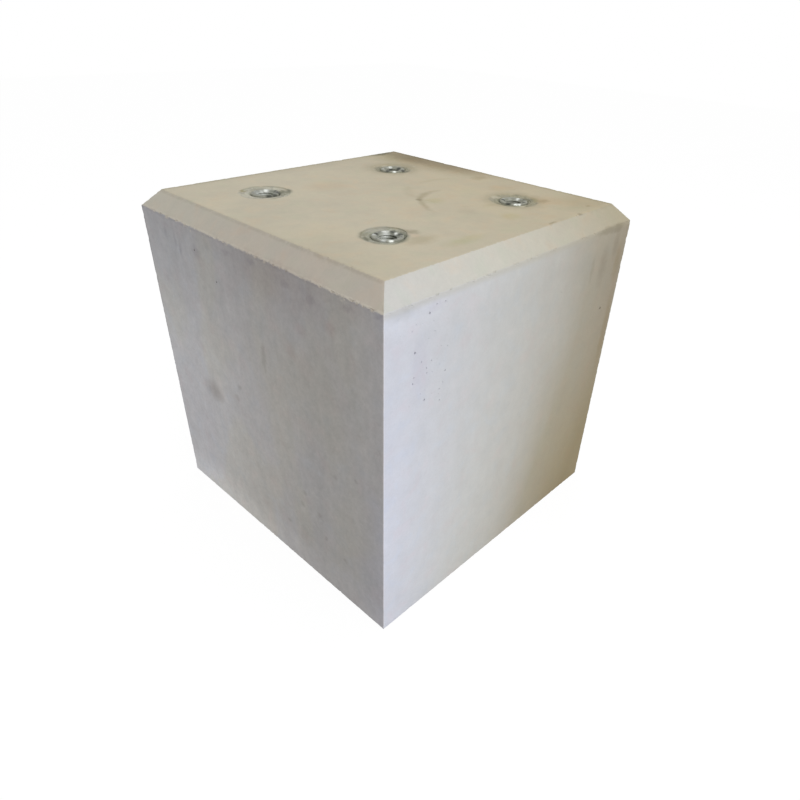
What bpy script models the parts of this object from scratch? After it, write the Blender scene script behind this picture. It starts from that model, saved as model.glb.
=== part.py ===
"""Concrete deck pier block with four cast-in threaded sockets.

The block is one casting: a cube with square upright edges and a chamfer round
its top.  It is cast upside down, so the top is the smooth face that the
mould's floor made, and the underside is the face that was struck off.

Four steel sockets are cast in at the corners of a square.  Each was held on
the mould's floor by a round plate, which left a shallow round recess with the
socket's mouth in the middle.  A short cross bar through the foot of each
socket keys it into the concrete, so that it neither turns nor pulls out.

Units are metres, +Z is up, and the origin is the middle of the underside.
"""

import math

import bmesh
import bpy
from mathutils import Matrix

# The concrete block
BLOCK_WIDTH = 0.300
BLOCK_DEPTH = 0.300
BLOCK_HEIGHT = 0.300
CHAMFER_LEG = 0.014

# The square of sockets, centre to centre
SOCKET_SPACING_X = 0.150
SOCKET_SPACING_Y = 0.150

# The round recess that the holding plate leaves in the top
RECESS_DIAMETER = 0.042
RECESS_DEPTH = 0.0012
RECESS_WALL_LEAN = 0.0006

# A socket, from its mouth down to its foot
SOCKET_DIAMETER = 0.024
MOUTH_BELOW_TOP = 0.0003
RIM_EDGE_BREAK = 0.0006
MOUTH_DIAMETER = 0.0176
BORE_DIAMETER = 0.0138
BORE_DEPTH = 0.042
DRILL_POINT_ANGLE = math.radians(118.0)
WEB_UNDER_BORE = 0.008
FOOT_UNDER_BAR = 0.009
FOOT_EDGE_BREAK = 0.001

# A cross bar through the foot of a socket
BAR_DIAMETER = 0.010
BAR_LENGTH = 0.080
BAR_END_BREAK = 0.0008

# The gap that is left all round between two pieces that touch
SEAT_GAP = 0.0003

# Facets of the round shapes, and how far a cutter runs past what it cuts
SOCKET_FACETS = 48
BAR_FACETS = 32
CUTTER_OVERRUN = 0.005
WELD_DISTANCE = 0.00001
SHARP_ANGLE = math.radians(30.0)

# Heights and lengths that follow from the sizes above
MOUTH_Z = BLOCK_HEIGHT - MOUTH_BELOW_TOP
DRILL_POINT_DEPTH = BORE_DIAMETER / 2 / math.tan(DRILL_POINT_ANGLE / 2)
BAR_HOLE_DIAMETER = BAR_DIAMETER + 2 * SEAT_GAP
BAR_BELOW_MOUTH = BORE_DEPTH + DRILL_POINT_DEPTH + WEB_UNDER_BORE + BAR_HOLE_DIAMETER / 2
BAR_Z = MOUTH_Z - BAR_BELOW_MOUTH
SOCKET_LENGTH = BAR_BELOW_MOUTH + BAR_HOLE_DIAMETER / 2 + FOOT_UNDER_BAR
FOOT_Z = MOUTH_Z - SOCKET_LENGTH

# Where the four sockets stand, named as seen from the front, which is -Y
SOCKET_PLACES = {
    "front_left": (-SOCKET_SPACING_X / 2, -SOCKET_SPACING_Y / 2),
    "front_right": (SOCKET_SPACING_X / 2, -SOCKET_SPACING_Y / 2),
    "back_left": (-SOCKET_SPACING_X / 2, SOCKET_SPACING_Y / 2),
    "back_right": (SOCKET_SPACING_X / 2, SOCKET_SPACING_Y / 2),
}

# Colours are linear RGB
CONCRETE_COLOUR = (0.50, 0.47, 0.39, 1.0)
ZINC_COLOUR = (0.56, 0.58, 0.57, 1.0)
BAR_COLOUR = (0.16, 0.13, 0.11, 1.0)


def clear_scene():
    """Take out whatever the file opened with."""
    for old in list(bpy.data.objects):
        bpy.data.objects.remove(old, do_unlink=True)


def make_material(name, colour, roughness, metallic):
    """A plain Principled material."""
    material = bpy.data.materials.new(name)
    material.use_nodes = True
    shader = material.node_tree.nodes["Principled BSDF"]
    shader.inputs["Base Color"].default_value = colour
    shader.inputs["Roughness"].default_value = roughness
    shader.inputs["Metallic"].default_value = metallic
    material.diffuse_color = colour
    return material


def add_object(name, mesh, location=(0.0, 0.0, 0.0)):
    """Put a mesh into the scene as a named object."""
    piece = bpy.data.objects.new(name, mesh)
    piece.location = location
    bpy.context.scene.collection.objects.link(piece)
    return piece


def mesh_from(bm, name):
    """Weld a bmesh and make it a mesh whose faces point outwards."""
    bmesh.ops.remove_doubles(bm, verts=bm.verts, dist=WELD_DISTANCE)
    bmesh.ops.recalc_face_normals(bm, faces=bm.faces)
    mesh = bpy.data.meshes.new(name)
    bm.to_mesh(mesh)
    bm.free()
    return mesh


def turned_mesh(name, profile, facets):
    """Turn a profile of (radius, height) points, top to bottom or back, round Z.

    The profile starts and ends on the axis, so the turned shape is closed.
    """
    bm = bmesh.new()
    ring = [bm.verts.new((radius, 0.0, height)) for radius, height in profile]
    edges = [bm.edges.new(pair) for pair in zip(ring, ring[1:])]
    bmesh.ops.spin(
        bm,
        geom=ring + edges,
        cent=(0.0, 0.0, 0.0),
        axis=(0.0, 0.0, 1.0),
        angle=math.tau,
        steps=facets,
        use_merge=True,
        use_duplicate=False,
    )
    return mesh_from(bm, name)


def bar_mesh(name, diameter, length, end_break):
    """A round bar along X, centred on the origin, with its end edges broken."""
    radius = diameter / 2
    half = length / 2
    profile = [(0.0, half)]
    if end_break > 0.0:
        profile += [(radius - end_break, half), (radius, half - end_break)]
        profile += [(radius, end_break - half), (radius - end_break, -half)]
    else:
        profile += [(radius, half), (radius, -half)]
    profile += [(0.0, -half)]
    mesh = turned_mesh(name, profile, BAR_FACETS)
    mesh.transform(Matrix.Rotation(math.pi / 2, 4, "Y"))
    return mesh


def cut(piece, cutters):
    """Take the cutters' shapes out of a piece and clear the cutters away."""
    for cutter in cutters:
        cutter.hide_render = True
        cutter.display_type = "WIRE"
        modifier = piece.modifiers.new(cutter.name, "BOOLEAN")
        modifier.operation = "DIFFERENCE"
        modifier.solver = "EXACT"
        modifier.object = cutter
    bpy.context.view_layer.update()
    depsgraph = bpy.context.evaluated_depsgraph_get()
    cut_mesh = bpy.data.meshes.new_from_object(piece.evaluated_get(depsgraph))
    bm = bmesh.new()
    bm.from_mesh(cut_mesh)
    piece.modifiers.clear()
    piece.data = mesh_from(bm, piece.name)
    for cutter in cutters:
        bpy.data.objects.remove(cutter, do_unlink=True)


def shade_round(mesh):
    """Shade the round walls smooth and keep the real edges sharp."""
    mesh.shade_smooth()
    mesh.set_sharp_from_angle(angle=SHARP_ANGLE)


def block_body_mesh():
    """The plain casting: a square prism with its four top edges chamfered."""
    bm = bmesh.new()
    size = Matrix.Diagonal((BLOCK_WIDTH, BLOCK_DEPTH, BLOCK_HEIGHT, 1.0))
    centre = Matrix.Translation((0.0, 0.0, BLOCK_HEIGHT / 2))
    bmesh.ops.create_cube(bm, size=1.0, matrix=centre @ size)
    top_edges = [edge for edge in bm.edges if all(vert.co.z > BLOCK_HEIGHT / 2 for vert in edge.verts)]
    bmesh.ops.bevel(
        bm,
        geom=top_edges,
        offset=CHAMFER_LEG,
        offset_type="OFFSET",
        segments=1,
        profile=0.5,
        affect="EDGES",
    )
    return mesh_from(bm, "concrete_block")


def seat_profile():
    """The room round a socket: the plate's recess, then the socket's pocket."""
    recess_foot = RECESS_DIAMETER / 2
    recess_rim = recess_foot + RECESS_WALL_LEAN
    lean_per_metre = RECESS_WALL_LEAN / RECESS_DEPTH
    cutter_rim = recess_rim + lean_per_metre * CUTTER_OVERRUN
    pocket = SOCKET_DIAMETER / 2 + SEAT_GAP
    floor = BLOCK_HEIGHT - RECESS_DEPTH
    return [
        (0.0, BLOCK_HEIGHT + CUTTER_OVERRUN),
        (cutter_rim, BLOCK_HEIGHT + CUTTER_OVERRUN),
        (recess_foot, floor),
        (pocket, floor),
        (pocket, FOOT_Z - SEAT_GAP),
        (0.0, FOOT_Z - SEAT_GAP),
    ]


def socket_profile():
    """A socket: a round bar with a drilled and countersunk blind hole."""
    outer = SOCKET_DIAMETER / 2
    mouth = MOUTH_DIAMETER / 2
    bore = BORE_DIAMETER / 2
    bore_floor = MOUTH_Z - BORE_DEPTH
    return [
        (0.0, bore_floor - DRILL_POINT_DEPTH),
        (bore, bore_floor),
        (bore, MOUTH_Z - (mouth - bore)),
        (mouth, MOUTH_Z),
        (outer - RIM_EDGE_BREAK, MOUTH_Z),
        (outer, MOUTH_Z - RIM_EDGE_BREAK),
        (outer, FOOT_Z + FOOT_EDGE_BREAK),
        (outer - FOOT_EDGE_BREAK, FOOT_Z),
        (0.0, FOOT_Z),
    ]


def build_block(material):
    """The casting, with a recess, a pocket and a bar channel for each socket."""
    block = add_object("concrete_block", block_body_mesh())
    seat = turned_mesh("socket_seat", seat_profile(), SOCKET_FACETS)
    channel = bar_mesh("bar_channel", BAR_HOLE_DIAMETER, BAR_LENGTH + 2 * SEAT_GAP, 0.0)
    cutters = []
    for name, (x, y) in SOCKET_PLACES.items():
        cutters.append(add_object("seat_" + name, seat, (x, y, 0.0)))
        cutters.append(add_object("channel_" + name, channel, (x, y, BAR_Z)))
    cut(block, cutters)
    block.data.materials.append(material)
    shade_round(block.data)


def build_sockets(material):
    """One socket is drilled, cross-drilled and set in each place."""
    drilled = turned_mesh("drilled_socket", socket_profile(), SOCKET_FACETS)
    sample = add_object("threaded_socket", drilled)
    cross_hole = bar_mesh("cross_hole", BAR_HOLE_DIAMETER, SOCKET_DIAMETER + 2 * CUTTER_OVERRUN, 0.0)
    cut(sample, [add_object("cross_hole", cross_hole, (0.0, 0.0, BAR_Z))])
    socket = sample.data
    bpy.data.objects.remove(sample, do_unlink=True)
    socket.materials.append(material)
    shade_round(socket)
    for name, (x, y) in SOCKET_PLACES.items():
        add_object("threaded_socket_" + name, socket, (x, y, 0.0))


def build_anchor_bars(material):
    """A cross bar lies through the foot of each socket."""
    bar = bar_mesh("anchor_bar", BAR_DIAMETER, BAR_LENGTH, BAR_END_BREAK)
    bar.materials.append(material)
    shade_round(bar)
    for name, (x, y) in SOCKET_PLACES.items():
        add_object("anchor_bar_" + name, bar, (x, y, BAR_Z))


def main():
    clear_scene()
    build_block(make_material("cast_concrete", CONCRETE_COLOUR, 0.85, 0.0))
    build_sockets(make_material("galvanised_steel", ZINC_COLOUR, 0.35, 0.9))
    build_anchor_bars(make_material("bare_bar_steel", BAR_COLOUR, 0.6, 0.8))


main()
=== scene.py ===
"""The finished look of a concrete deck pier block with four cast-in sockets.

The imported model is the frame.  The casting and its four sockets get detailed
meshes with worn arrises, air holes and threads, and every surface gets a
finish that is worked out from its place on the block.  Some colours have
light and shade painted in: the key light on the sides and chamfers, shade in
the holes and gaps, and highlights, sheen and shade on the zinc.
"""

import contextlib
import math
import random

import bmesh
import bpy
from bpy.props import FloatProperty, FloatVectorProperty, IntProperty, PointerProperty
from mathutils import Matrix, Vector, noise


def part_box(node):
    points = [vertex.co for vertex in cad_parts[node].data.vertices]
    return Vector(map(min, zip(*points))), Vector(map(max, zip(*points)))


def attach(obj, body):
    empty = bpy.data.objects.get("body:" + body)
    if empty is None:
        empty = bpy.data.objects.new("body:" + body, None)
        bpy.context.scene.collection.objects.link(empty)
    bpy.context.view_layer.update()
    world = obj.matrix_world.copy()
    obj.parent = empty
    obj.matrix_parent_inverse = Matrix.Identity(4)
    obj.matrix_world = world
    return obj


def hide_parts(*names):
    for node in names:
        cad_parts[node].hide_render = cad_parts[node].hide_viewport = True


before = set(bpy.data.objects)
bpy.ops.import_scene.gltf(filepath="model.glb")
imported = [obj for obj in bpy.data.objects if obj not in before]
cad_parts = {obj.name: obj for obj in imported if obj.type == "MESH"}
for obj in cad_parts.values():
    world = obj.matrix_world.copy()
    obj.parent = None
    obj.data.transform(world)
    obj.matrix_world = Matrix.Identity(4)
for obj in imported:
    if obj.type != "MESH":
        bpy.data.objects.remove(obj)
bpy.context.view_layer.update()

bl_info = {
    "name": "Concrete Pier Block",
    "version": (1, 0, 0),
    "blender": (4, 5, 0),
    "location": "3D View > Sidebar > Pier Block",
    "description": "Casts a concrete deck pier block, sets its threaded sockets and lights it",
    "category": "Object",
}

BLOCK_LOW, BLOCK_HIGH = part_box("concrete_block")
HALF_WIDTH = (BLOCK_HIGH.x - BLOCK_LOW.x) / 2
CORNERS = ("front_left", "front_right", "back_left", "back_right")

MM = 0.001
WELD = 0.004 * MM
SMOOTH_ANGLE = math.radians(32.0)


def socket_place(corner):
    """The middle of a socket's mouth, as the frame has it."""
    low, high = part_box("threaded_socket_" + corner)
    return Vector(((low.x + high.x) / 2, (low.y + high.y) / 2, high.z))


MOUTHS = {corner: socket_place(corner) for corner in CORNERS}
SOCKET_LOW, SOCKET_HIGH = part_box("threaded_socket_front_left")
SOCKET_RADIUS = (SOCKET_HIGH.x - SOCKET_LOW.x) / 2
BAR_LOW, BAR_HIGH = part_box("anchor_bar_front_left")
BAR_RADIUS = (BAR_HIGH.z - BAR_LOW.z) / 2


def size_setting(name, description, millimetres):
    """A setting that is a length."""
    return FloatProperty(name=name, description=description, default=millimetres * MM, unit="LENGTH")


def colour_setting(name, description, colour):
    """A setting that is a colour, in linear RGB."""
    return FloatVectorProperty(name=name, description=description, default=colour, subtype="COLOR")


def amount_setting(name, description, amount):
    """A setting of the camera or a light."""
    return FloatProperty(name=name, description=description, default=amount)


class CastingSettings(bpy.types.PropertyGroup):
    """Sizes and colours of the concrete casting; the side and chamfer colours have the light on them painted
    in.
    """

    chamfer_leg: size_setting("Chamfer leg", "How far the chamfer round the top reaches down and in", 14.0)
    recess_diameter: size_setting("Recess diameter", "The round recess that the holding plate leaves", 42.0)
    recess_depth: size_setting("Recess depth", "Depth of that recess", 1.2)
    seat_gap: size_setting("Seat gap", "The gap round a socket and its bar", 0.3)
    arris_wear: size_setting("Arris wear", "How far every arris is rubbed back", 0.35)
    chip_depth: size_setting("Chip depth", "How deep the nibbles along the arrises go", 1.1)
    face_wave: size_setting("Face wave", "How far the cast faces wander from flat", 0.22)
    hidden_pits: IntProperty(
        name="Air holes",
        description="Air holes on each of the sides turned away from the front corner",
        default=26,
        min=0,
    )
    top_colour: colour_setting("Top colour", "The mould-floor face", (0.524, 0.473, 0.359))
    chamfer_colour: colour_setting("Chamfer colour", "The chamfer over the grey side", (0.486, 0.449, 0.381))
    # The pale chamfer's colour has the key light painted in, brightest at the front corner
    bright_chamfer_colour: colour_setting(
        "Bright chamfer colour",
        "The chamfer over the pale side, at the front corner",
        (0.592, 0.585, 0.560),
    )
    # The pale side's colours are painted key light: cool and bright at the front corner, falling off to a dim
    # buff at the far end
    pale_colour: colour_setting("Pale side colour", "Its tone at the front corner", (0.630, 0.648, 0.715))
    buff_colour: colour_setting("Buff colour", "The pale side at its far end", (0.266, 0.220, 0.140))
    # The grey side's bluish cast is painted cool side light
    grey_colour: colour_setting("Grey side colour", "The grey side", (0.416, 0.403, 0.398))
    hidden_colour: colour_setting("Back colour", "The back sides and the underside", (0.43, 0.41, 0.37))


class SocketSettings(bpy.types.PropertyGroup):
    """Sizes and colours of a galvanised socket."""

    mouth_diameter: size_setting("Mouth diameter", "The countersunk mouth at the rim", 17.6)
    minor_diameter: size_setting("Minor diameter", "The bore between the thread's crests", 13.8)
    major_diameter: size_setting("Major diameter", "The bore at the thread's roots", 16.0)
    pitch: size_setting("Pitch", "Pitch of the right-hand thread", 2.0)
    bore_depth: size_setting("Bore depth", "Depth of the full bore under the rim", 42.0)
    thread_length: size_setting("Thread length", "How far down the thread runs", 36.0)
    # This colour paints highlights and sheen on the zinc
    highlight_colour: colour_setting("Bright zinc colour", "Zinc that has been rubbed clean", (0.70, 0.72, 0.68))
    zinc_colour: colour_setting("Zinc colour", "Dull zinc on the rim", (0.30, 0.305, 0.265))
    # This colour is grime and painted shade in the mouth and the bore
    dirt_and_shade_colour: colour_setting("Dirt colour", "Dirty zinc in the mouth and the bore", (0.24, 0.25, 0.21))
    smear_colour: colour_setting("Cement smear colour", "Cement dried on the rim", (0.31, 0.31, 0.25))


class StageSettings(bpy.types.PropertyGroup):
    """Camera, floor and lamps."""

    camera_place: FloatVectorProperty(
        name="Camera place",
        description="Where the camera stands",
        default=(-0.37694, -0.39023, 0.43799),
        subtype="XYZ",
    )
    camera_turn: FloatVectorProperty(
        name="Camera turn",
        description="How the camera is turned",
        default=(math.radians(56.27024), math.radians(-2.25851), math.radians(-46.72978)),
        subtype="EULER",
    )
    lens: amount_setting("Lens", "Focal length in millimetres on a 36 mm sensor", 27.7085)
    ambient: amount_setting("Ambient light", "Strength of the even light from all round", 0.62)
    key_power: amount_setting("Key power", "The big soft lamp over the pale side, in watts", 7.5)
    top_power: amount_setting("Top power", "The soft lamp overhead, in watts", 4.4)
    glint_power: amount_setting("Glint power", "The small lamp that the zinc catches, in watts", 0.25)


def select_only(piece):
    """Make one object the active one and the only one selected."""
    bpy.ops.object.select_all(action="DESELECT")
    piece.select_set(True)
    bpy.context.view_layer.objects.active = piece


@contextlib.contextmanager
def editing(piece):
    """Edit mode on one piece."""
    select_only(piece)
    bpy.ops.object.mode_set(mode="EDIT")
    yield
    bpy.ops.object.mode_set(mode="OBJECT")


def pick(piece, kind, test):
    """In edit mode, select just the vertices, edges or faces that pass a test."""
    bpy.ops.mesh.select_mode(type=kind)
    bpy.ops.mesh.select_all(action="DESELECT")
    mesh = bmesh.from_edit_mesh(piece.data)
    for part in {"VERT": mesh.verts, "EDGE": mesh.edges, "FACE": mesh.faces}[kind]:
        if test(part):
            part.select_set(True)
    mesh.select_flush_mode()
    bmesh.update_edit_mesh(piece.data)


def name_new(name):
    """Name the object that an operator has just added, and put its place in its mesh."""
    piece = bpy.context.view_layer.objects.active
    piece.name = name
    piece.data.name = name
    bpy.ops.object.transform_apply(location=True, rotation=True, scale=True)
    return piece


def finish_modifier(piece, kind, **settings):
    """Add a modifier and apply it."""
    select_only(piece)
    modifier = piece.modifiers.new(kind.lower(), kind)
    for name, value in settings.items():
        setattr(modifier, name, value)
    bpy.ops.object.modifier_apply(modifier=modifier.name)


def cut_away(piece, cutter):
    """Take a cutter's shape out of a piece, and clear the cutter away."""
    finish_modifier(piece, "BOOLEAN", operation="DIFFERENCE", solver="EXACT", object=cutter)
    bpy.data.objects.remove(cutter, do_unlink=True)


def close_up(piece):
    """Weld a mesh, drop slivers and turn its faces outwards."""
    with editing(piece):
        bpy.ops.mesh.select_all(action="SELECT")
        bpy.ops.mesh.remove_doubles(threshold=WELD)
        bpy.ops.mesh.dissolve_degenerate(threshold=WELD)
        bpy.ops.mesh.normals_make_consistent(inside=False)
    select_only(piece)
    bpy.ops.object.shade_smooth_by_angle(angle=SMOOTH_ANGLE)


def joined(pieces, name):
    """Join several objects into one."""
    bpy.ops.object.select_all(action="DESELECT")
    for piece in pieces:
        piece.select_set(True)
    bpy.context.view_layer.objects.active = pieces[0]
    bpy.ops.object.join()
    return name_new(name)


def copy_of(piece, name):
    """A copy of a piece with a mesh of its own."""
    twin = piece.copy()
    twin.data = piece.data.copy()
    twin.name = name
    bpy.context.scene.collection.objects.link(twin)
    return twin


def clamped(value):
    """A number held between 0 and 1."""
    return min(1.0, max(0.0, value))


def weigh(piece, name, weight_at):
    """Give a piece a vertex group whose weight is worked out from each place."""
    group = piece.vertex_groups.new(name=name)
    for vertex in piece.data.vertices:
        group.add([vertex.index], weight_at(vertex.co), "REPLACE")


def wear_down(piece, group, size, stops, reach):
    """Push the weighted part of a piece inwards by up to reach, in cloudy patches about size across."""
    clouds = bpy.data.textures.new(group, "CLOUDS")
    clouds.noise_scale = size
    clouds.noise_depth = 2
    clouds.use_color_ramp = True
    for element, (position, level) in zip(clouds.color_ramp.elements, stops):
        element.position = position
        element.color = (level, level, level, 1.0)
    finish_modifier(
        piece,
        "DISPLACE",
        texture=clouds,
        texture_coords="LOCAL",
        direction="NORMAL",
        mid_level=0.0,
        strength=-reach,
        vertex_group=group,
    )


def extruded_ring(centre, radius, next_radius, rise):
    """Extrude the selected cap along Z and bring it to a new radius."""
    bpy.ops.mesh.extrude_region_move(TRANSFORM_OT_translate={"value": (0.0, 0.0, rise)})
    share = next_radius / radius
    bpy.ops.transform.resize(value=(share, share, 1.0), center_override=centre)


def turned(name, centre, rings, facets):
    """A closed turned shape with its axis upright, from (radius, height) rings, top first."""
    (radius, top), (_, below) = rings[:2]
    bpy.ops.mesh.primitive_cylinder_add(
        vertices=facets,
        radius=radius,
        depth=top - below,
        end_fill_type="NGON",
        location=(centre.x, centre.y, (top + below) / 2),
    )
    piece = name_new(name)
    with editing(piece):
        pick(piece, "FACE", lambda face: face.normal.z < -0.9)
        share = rings[1][0] / radius
        bpy.ops.transform.resize(value=(share, share, 1.0), center_override=centre)
        for (width, level), (next_width, next_level) in zip(rings[1:], rings[2:]):
            extruded_ring(centre, width, next_width, next_level - level)
    return piece


def round_bar(name, centre, radius, length, facets=32):
    """A plain bar along X."""
    bpy.ops.mesh.primitive_cylinder_add(
        vertices=facets,
        radius=radius,
        depth=length,
        end_fill_type="NGON",
        location=centre,
        rotation=(0.0, math.pi / 2, 0.0),
    )
    return name_new(name)


FACE_CUTS = 49
CHAMFER_CUTS = 3
ARRIS_CUTS = 5
ARRIS_STRIPS = (0.5 * MM, 0.7 * MM, 1.2 * MM)
ARRIS_REACH = sum(ARRIS_STRIPS)
RUBBED_REACH = 0.9 * MM
DRAG_DEPTH = 1.3 * MM


def hull_distances(place, leg):
    """How deep a place lies under each plane of the casting, nearest first."""
    sides = [
        place.x - BLOCK_LOW.x,
        BLOCK_HIGH.x - place.x,
        place.y - BLOCK_LOW.y,
        BLOCK_HIGH.y - place.y,
    ]
    under_top = BLOCK_HIGH.z - place.z
    chamfers = [(side + under_top - leg) / math.sqrt(2.0) for side in sides]
    return sorted([*sides, *chamfers, under_top, place.z - BLOCK_LOW.z])


def from_arris(place, leg):
    """How far a place on the surface is from the nearest arris."""
    return hull_distances(place, leg)[1]


def gridded_casting(leg):
    """The chamfered cube, with narrow strips and short steps along its arrises."""
    bpy.ops.mesh.primitive_cube_add(
        size=1.0,
        location=(BLOCK_LOW + BLOCK_HIGH) / 2,
        scale=BLOCK_HIGH - BLOCK_LOW,
    )
    block = name_new("pier_block")
    middle = (BLOCK_LOW.z + BLOCK_HIGH.z) / 2
    long_edge = 0.5 * (BLOCK_HIGH.x - BLOCK_LOW.x)

    def beside_arris(edge):
        reach = ARRIS_STRIPS[0] * 1.1
        return edge.calc_length() > 2.0 * MM and all(from_arris(v.co, leg) < reach for v in edge.verts)

    with editing(block):
        pick(block, "EDGE", lambda edge: all(v.co.z > middle for v in edge.verts))
        bpy.ops.mesh.bevel(offset=leg, offset_type="OFFSET", segments=1, affect="EDGES")
        pick(block, "FACE", lambda face: True)
        for strip in ARRIS_STRIPS:
            bpy.ops.mesh.inset(thickness=strip, use_individual=True, use_even_offset=True)
        pick(block, "EDGE", lambda edge: edge.calc_length() > long_edge)
        bpy.ops.mesh.subdivide(number_cuts=FACE_CUTS)
        pick(block, "EDGE", lambda edge: leg * 0.7 < edge.calc_length() < leg * 2.0)
        bpy.ops.mesh.subdivide(number_cuts=CHAMFER_CUTS)
        pick(block, "EDGE", beside_arris)
        bpy.ops.mesh.subdivide(number_cuts=ARRIS_CUTS, ngon=False)
        pick(block, "FACE", lambda face: all(v.co.z < 0.01 * MM for v in face.verts)
             and all(from_arris(v.co, leg) > 2.0 * MM for v in face.verts))
        bpy.ops.mesh.subdivide(number_cuts=1, ngon=False)
    return block


def wear_casting(block, settings):
    """Rub back the arrises, nibble them, wave the faces and drag the underside."""
    leg = settings.chamfer_leg

    def rubbed(place):
        return clamped(1.0 - from_arris(place, leg) / RUBBED_REACH)

    def nibbled(place):
        share = 1.0 if abs(BLOCK_HIGH.z - leg - place.z) < ARRIS_REACH else 0.4
        return share * clamped(1.0 - from_arris(place, leg) / ARRIS_REACH)

    def waved(place):
        return clamped(from_arris(place, leg) / ARRIS_REACH - 1.0)

    def dragged(place):
        return waved(place) if place.z < BLOCK_LOW.z + 0.01 * MM else 0.0

    weigh(block, "rubbed_arris", rubbed)
    weigh(block, "nibbled_arris", nibbled)
    weigh(block, "waved_face", waved)
    weigh(block, "dragged_underside", dragged)
    wear_down(block, "dragged_underside", 9.0 * MM, ((0.3, 0.0), (0.75, 1.0)), DRAG_DEPTH)
    wear_down(block, "waved_face", 70.0 * MM, ((0.2, 0.0), (0.8, 1.0)), settings.face_wave)
    wear_down(block, "rubbed_arris", 2.2 * MM, ((0.0, 0.3), (0.8, 1.0)), settings.arris_wear)
    wear_down(block, "nibbled_arris", 3.6 * MM, ((0.56, 0.0), (0.78, 1.0)), settings.chip_depth)
    block.vertex_groups.clear()


SEAT_FACETS = 96
CUTTER_OVERRUN = 4.0 * MM
# How far in from its edge a recess wanders from round
EDGE_WANDER = 5.0 * MM
# The edge of each recess, in mm: how far it lies outside the plate's width, and how far slurry has sloped it
RECESS_EDGES = {
    "front_left": (-1.3, 0.6),
    "front_right": (0.6, 3.2),
    "back_left": (0.3, 1.2),
    "back_right": (0.6, 3.8),
}
# The rings in a recess: the share of the way in from its foot to the pocket, and the height in mm
RECESS_RINGS = ((0.34, 0.05), (0.43, 0.38), (0.60, 0.42), (0.72, 0.02))
# The recess that slurry has partly filled, from which side, how far in and how high
FILL_CORNER = "front_left"
FILL_TURN = math.radians(-50.0)
FILL_REACH = 7.0 * MM
FILL_RISE = 0.75 * MM
FILLED_DEPTH = 0.3 * MM


def seat_cutter(corner, turn, settings):
    """The room round one socket: the plate's recess with its rings, then the pocket."""
    mouth = MOUTHS[corner]
    top = BLOCK_HIGH.z
    depth = settings.recess_depth
    floor = top - depth
    recess = settings.recess_diameter / 2
    pocket = SOCKET_RADIUS + settings.seat_gap
    outside, slope = (part * MM for part in RECESS_EDGES[corner])
    rim = recess + outside
    foot = rim - slope - 0.3 * MM
    inner = pocket + 1.3 * MM
    rings = [
        (rim + slope / depth * CUTTER_OVERRUN, top + CUTTER_OVERRUN),
        (rim - slope * 0.7, floor + depth * 0.2),
        (foot, floor),
        *((foot - (foot - inner) * share, floor + height * MM) for share, height in RECESS_RINGS),
        (inner, floor - 0.05 * MM),
        (pocket, floor - 0.8 * MM),
        (pocket, SOCKET_LOW.z - settings.seat_gap),
    ]
    cutter = turned("seat_" + corner, mouth, rings, SEAT_FACETS)
    for vertex in cutter.data.vertices:
        flat = Vector((vertex.co.x - mouth.x, vertex.co.y - mouth.y, 0.0))
        heading = flat.normalized()
        width = flat.length
        if width < pocket + 0.5 * MM:
            continue
        slow = noise.noise(heading * 1.3 + Vector((0.0, 0.0, turn)))
        quick = noise.noise(heading * 9.0 + Vector((0.0, 0.0, turn + 20.0)))
        shift = clamped((width - recess + EDGE_WANDER) / EDGE_WANDER) * (0.5 * slow + 0.32 * quick) * MM
        fill = 0.0
        if corner == FILL_CORNER:
            fill = max(0.0, heading.x * math.cos(FILL_TURN) + heading.y * math.sin(FILL_TURN)) ** 2
        vertex.co += heading * (shift - FILL_REACH * fill * clamped((width - inner) / (recess - inner)))
        if vertex.co.z < top:
            vertex.co.z += 0.14 * MM * noise.noise(heading * 4.0 + Vector((turn, width * 900.0, 0.0)))
            vertex.co.z = min(vertex.co.z + FILL_RISE * fill, top - FILLED_DEPTH)
    return cutter


def bar_channel(corner, gap):
    """The room round one cross bar."""
    low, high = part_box("anchor_bar_" + corner)
    return round_bar("channel_" + corner, (low + high) / 2, BAR_RADIUS + gap, high.x - low.x + 2 * gap)


PALE_FACE = Vector((0.0, -1.0, 0.0))
GREY_FACE = Vector((-1.0, 0.0, 0.0))
BACK_FACE = Vector((0.0, 1.0, 0.0))
FAR_FACE = Vector((1.0, 0.0, 0.0))
TOP_FACE = Vector((0.0, 0.0, 1.0))
UNDERSIDE = Vector((0.0, 0.0, -1.0))

# Air holes that show from the front corner: along the face, height, width, in millimetres
PALE_FACE_PITS = (
    (-109.7, 275.7, 2), (-94.9, 279.6, 1.2), (-103.3, 280, 1.1), (-91.3, 227.2, 1.4), (-111.6, 211.6, 1.7),
    (-122.3, 251.5, 2), (-115.7, 242.5, 1.1), (-122.5, 233.2, 1.1), (-123.5, 229, 1.3), (-106, 240.3, 1.1),
    (-110.4, 232.3, 1.1), (-96.5, 214.2, 1.1), (126, 209.4, 2.6),
)
GREY_FACE_PITS = ((68.4, 268, 1.7), (40.9, 249.5, 1.6))
# Air holes strewn over a side: face, middle and half size of the patch, how many, least and most width, in mm
STREWN_PITS = (
    (PALE_FACE, (-107.0, 240.0), (20.0, 38.0), 34, 0.5, 1.25),
    (PALE_FACE, (0.0, 140.0), (140.0, 125.0), 16, 0.3, 0.9),
    (GREY_FACE, (0.0, 140.0), (140.0, 125.0), 14, 0.35, 0.9),
)
HIDDEN_PATCH = ((0.0, 145.0), (138.0, 132.0))
HIDDEN_WIDTHS = (0.5, 3.2)
# The same on the top and the underside: face, height, how many, least and most width
LEVEL_PITS = ((TOP_FACE, BLOCK_HIGH.z, 6, 0.4, 0.9), (UNDERSIDE, BLOCK_LOW.z, 34, 0.8, 4.5))
LEVEL_MARGIN = 26.0 * MM


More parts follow.
